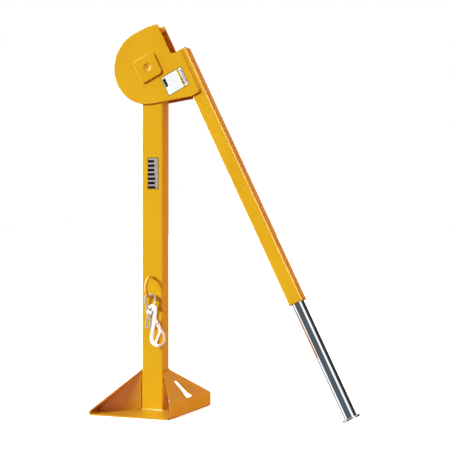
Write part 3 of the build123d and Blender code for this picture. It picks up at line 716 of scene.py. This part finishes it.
def thread_run(shell, start, end, normal):
    """One stitch: a low arched thread between two needle holes."""
    run = end - start
    side = run.normalized().cross(normal).normalized()
    rings = []
    for i in range(THREAD_SPANS + 1):
        share = i / THREAD_SPANS
        rise = THREAD_ARCH * math.sin(math.pi * share) - THREAD_SINK
        centre = start + run * share + normal * THREAD_RADIUS * rise
        ring = []
        for k in range(THREAD_SIDES):
            turn = 2 * math.pi * k / THREAD_SIDES
            out = side * math.cos(turn) + normal * math.sin(turn)
            ring.append(shell.verts.new(centre + out * THREAD_RADIUS))
        rings.append(ring)
    for here, after in zip(rings, rings[1:]):
        for k in range(THREAD_SIDES):
            n = (k + 1) % THREAD_SIDES
            face = shell.faces.new((here[k], here[n], after[n], after[k]))
            face.smooth = True
    shell.faces.new(rings[0])
    shell.faces.new(rings[-1])


def lap_route(line):
    """Route of the lap that closes the loop: along its end, across the gap and along its start."""
    stops = [line[-1 - LAP_REACH], line[-1], line[0], line[LAP_REACH]]
    route = [stops[0]]
    for before, after in zip(stops, stops[1:]):
        route += [before.lerp(after, 0.5), after]
    return [tuple(place) for place in route]


def box_stitch(line, frames):
    """Two zigzag rows of thread over the lap, on the side that faces the front."""
    shell = bmesh.new()
    for row in (-STITCH_ROW, STITCH_ROW):
        holes = []
        for i in range(STITCH_MARGIN, len(line) - STITCH_MARGIN, STITCH_STEP):
            _, tangent, normal = frames[i]
            across = tangent.cross(normal).normalized()
            zig = STITCH_ZIG if len(holes) % 2 else -STITCH_ZIG
            hole = line[i] + across * (row + zig) + normal * WEBBING_THICK * 0.5
            holes.append((hole, normal))
        for (start, normal), (end, _) in zip(holes, holes[1:]):
            thread_run(shell, start, end, normal)
    return finished_piece("lanyard_stitches", shell, stitch_thread())


lanyard_line = route_line(LANYARD_ROUTE, ROUTE_STEPS)
lanyard_frames = tape_frames(lanyard_line, TWISTS)
tape = sweep_tape("lanyard_webbing", lanyard_line, lanyard_frames, WEBBING_WIDTH, WEBBING_THICK)

inner_line = route_line(INNER_STRAND, SHORT_STEPS)
inner_frames = tape_frames(inner_line, NO_TWIST)
inner = sweep_tape("lanyard_inner", inner_line, inner_frames, INNER_WIDTH, INNER_THICK)

lap_line = route_line(lap_route(lanyard_line), SHORT_STEPS)
lap_frames = tape_frames(lap_line, NO_TWIST)
lap = sweep_tape("lanyard_lap", lap_line, lap_frames, LAP_WIDTH, LAP_THICK, LAP_OFFSET)
stitches = box_stitch(lap_line, lap_frames)

for piece in (tape, inner, lap, stitches):
    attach(piece, "snap")
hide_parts("lanyard")
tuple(LANYARD_ROUTE[0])
[tuple(p) for p in lanyard_line]

# ---- floor and surroundings --------------------------------------------------------------------
FLOOR_HALF = 40.0
FLOOR_GLOW = 0.72
AMBIENT = (0.43, 0.15, 0.10, 1)
DARK_FRONT = (0.10, 0.125, 0.145, 1)
CEILING = grey(0.95)
CEILING_START = (0.55, 0.8)   # the Z of the directions between which it begins

# Azimuth in degrees from the front (-Y) towards +X, and what a shiny part sees there.
STUDIO_STOPS = [
    (-180, grey(0.05)), (-140, (0.20, 0.17, 0.14, 1)), (-104, grey(0.40)), (-88, grey(1.30)),
    (-64, grey(1.35)), (-50, DARK_FRONT), (32, DARK_FRONT), (46, grey(1.2)), (62, grey(1.5)),
    (78, grey(0.35)), (96, grey(0.05)), (150, grey(0.02)), (180, grey(0.05)),
]


def pale_floor():
    """Plain pale floor, far larger than the view, that glows a little like a light table."""
    material, tree, shader = new_material("floor")
    broad = noise_of(tree, scale=3.0, detail=2.0)
    set_inputs(
        tree, shader, Base_Color=mix(tree, broad, srgb(246, 246, 246), srgb(250, 250, 250)),
        Roughness=0.7, Specular_IOR_Level=0.0, Emission_Color=WHITE, Emission_Strength=FLOOR_GLOW,
    )
    mesh = bpy.data.meshes.new("floor")
    sides = ((-1, -1), (1, -1), (1, 1), (-1, 1))
    mesh.from_pydata([(x * FLOOR_HALF, y * FLOOR_HALF, 0) for x, y in sides], [], [(0, 1, 2, 3)])
    mesh.materials.append(material)
    floor = placed("floor", mesh)
    floor.visible_diffuse = False
    floor.visible_glossy = False


def studio_ring(tree, direction):
    """What a shiny part sees all round it: soft boxes with dark flags between them."""
    to_front = times(tree, direction.outputs["Y"], -1.0)
    azimuth = math_of(tree, "ARCTAN2", direction.outputs["X"], to_front)
    ramp = add(tree, "ShaderNodeValToRGB", {"Fac": span(tree, azimuth, (-math.pi, math.pi))})
    ramp.color_ramp.interpolation = "EASE"
    elements = ramp.color_ramp.elements
    elements.remove(elements[-1])
    stops = [((degrees + 180) / 360, colour) for degrees, colour in STUDIO_STOPS]
    elements[0].position, elements[0].color = stops[0]
    for position, colour in stops[1:]:
        elements.new(position).color = colour
    return ramp.outputs["Color"]


def background(tree, colour):
    """Light of a colour from all round."""
    return add(tree, "ShaderNodeBackground", {"Color": colour, "Strength": 1.0}).outputs[0]


def choose(tree, rays, usual, special_one):
    """One background for some rays and the usual one for the others."""
    return add(tree, "ShaderNodeMixShader", {0: rays, 1: usual, 2: special_one}).outputs[0]


def studio_world():
    """White to the camera, a dim warm fill on matt surfaces and a studio in shiny ones."""
    world = bpy.data.worlds.new("studio")
    bpy.context.scene.world = world
    world.use_nodes = True
    tree = world.node_tree
    tree.nodes.clear()
    generated = add(tree, "ShaderNodeTexCoord").outputs["Generated"]
    direction = add(tree, "ShaderNodeSeparateXYZ", {"Vector": generated})
    ceiling = span(tree, direction.outputs["Z"], CEILING_START)
    studio = mix(tree, ceiling, studio_ring(tree, direction), CEILING)
    ray = add(tree, "ShaderNodeLightPath").outputs
    seen = background(tree, AMBIENT)
    seen = choose(tree, ray["Is Glossy Ray"], seen, background(tree, studio))
    seen = choose(tree, ray["Is Camera Ray"], seen, background(tree, WHITE))
    add(tree, "ShaderNodeOutputWorld", {"Surface": seen})
    world.cycles.sampling_method = "NONE"


pale_floor()
studio_world()


# ---- lamps -------------------------------------------------------------------------------------
def distant_lamp(name, toward, strength, spread, pieces):
    """A lamp far away in one direction, on all pieces or a few; its spread is in degrees."""
    light = bpy.data.lights.new(name, "SUN")
    light.energy = strength
    light.angle = math.radians(spread)
    lamp = placed(name, light)
    lamp.rotation_euler = Vector(toward).normalized().to_track_quat("Z", "Y").to_euler()
    lamp.visible_camera = False
    if pieces:
        group = bpy.data.collections.new(name + "_pieces")
        for piece in pieces:
            group.objects.link(piece)
        lamp.light_linking.receiver_collection = group
    return lamp


def soft_light(name, toward, strength, spread, colour=(1, 1, 1), pieces=None):
    """Even light with soft shadows, which doesn't show in reflections."""
    lamp = distant_lamp(name, toward, strength, spread, pieces)
    lamp.data.color = colour
    lamp.visible_glossy = False


def edge_panel(name, toward, strength, spread, pieces):
    """Broad bright panel that only the gloss of the given pieces shows."""
    lamp = distant_lamp(name, toward, strength, spread, pieces)
    lamp.visible_diffuse = False


hook = [nodes[name] for name in ("snap_hook_body", "snap_gate", "swivel_eye", "gate_rivet")]
rims = [nodes[name] for name in ("head_plate_front", "column_tube", "lever_tube", "toe_plate")]
paints = {plate_paint, tube_paint, cheek_paint}
meshes = [thing for thing in bpy.context.scene.objects if thing.type == "MESH"]
painted = [thing for thing in meshes if paints & set(thing.data.materials)]

soft_light("key", (-0.55, -0.76, 0.40), strength=3.95, spread=14.0, colour=(0.62, 0.95, 1.0))
soft_light("sky", (-0.45, -0.25, 0.85), strength=0.5, spread=70.0)
soft_light("side_fill", (1.0, 0.40, 0.0), strength=2.15, spread=50.0, colour=(1.0, 0.84, 0.60))
soft_light("trim_fill", (-0.45, -0.90, 0.0), strength=1.6, spread=30.0, colour=(1.0, 0.95, 0.8),
           pieces=[nodes["slot_plate"]])
soft_light("webbing_fill", (0.30, -0.95, 0.10), strength=1.1, spread=60.0, colour=(0.86, 1.0, 0.96),
           pieces=[tape, inner, lap, stitches])
soft_light("back_fill", (-0.10, 0.98, 0.20), strength=1.9, spread=50.0, colour=(0.85, 1.0, 1.0))
edge_panel("lever_panel", (0.81, -0.30, 0.42), strength=8.0, spread=76.0, pieces=[nodes["lever_tube"]])
edge_panel("rim_panel", (-0.88, 0.40, 0.10), strength=6.0, spread=60.0, pieces=rims)
edge_panel("hook_panel", (-0.37, -0.93, 0.10), strength=0.45, spread=36.0, pieces=hook)
edge_panel("weld_panel", (-0.30, -0.05, 0.95), strength=1.6, spread=20.0, pieces=[beads["base_welds"]])
edge_panel("left_panel", (-0.92, 0.22, 0.30), strength=9.0, spread=88.0, pieces=painted)


# ---- camera ------------------------------------------------------------------------------------
camera_data = bpy.data.cameras.new("camera")
camera_data.lens = CAMERA_LENS
camera_data.sensor_width = SENSOR_WIDTH
camera_data.shift_y = CAMERA_SHIFT
camera_data.clip_end = CAMERA_REACH
camera = placed("camera", camera_data)
camera.location = CAMERA_PLACE
camera.rotation_euler = (math.radians(90), 0, math.radians(CAMERA_TURN))
bpy.context.scene.camera = camera
bpy.context.scene.view_settings.view_transform = "Standard"
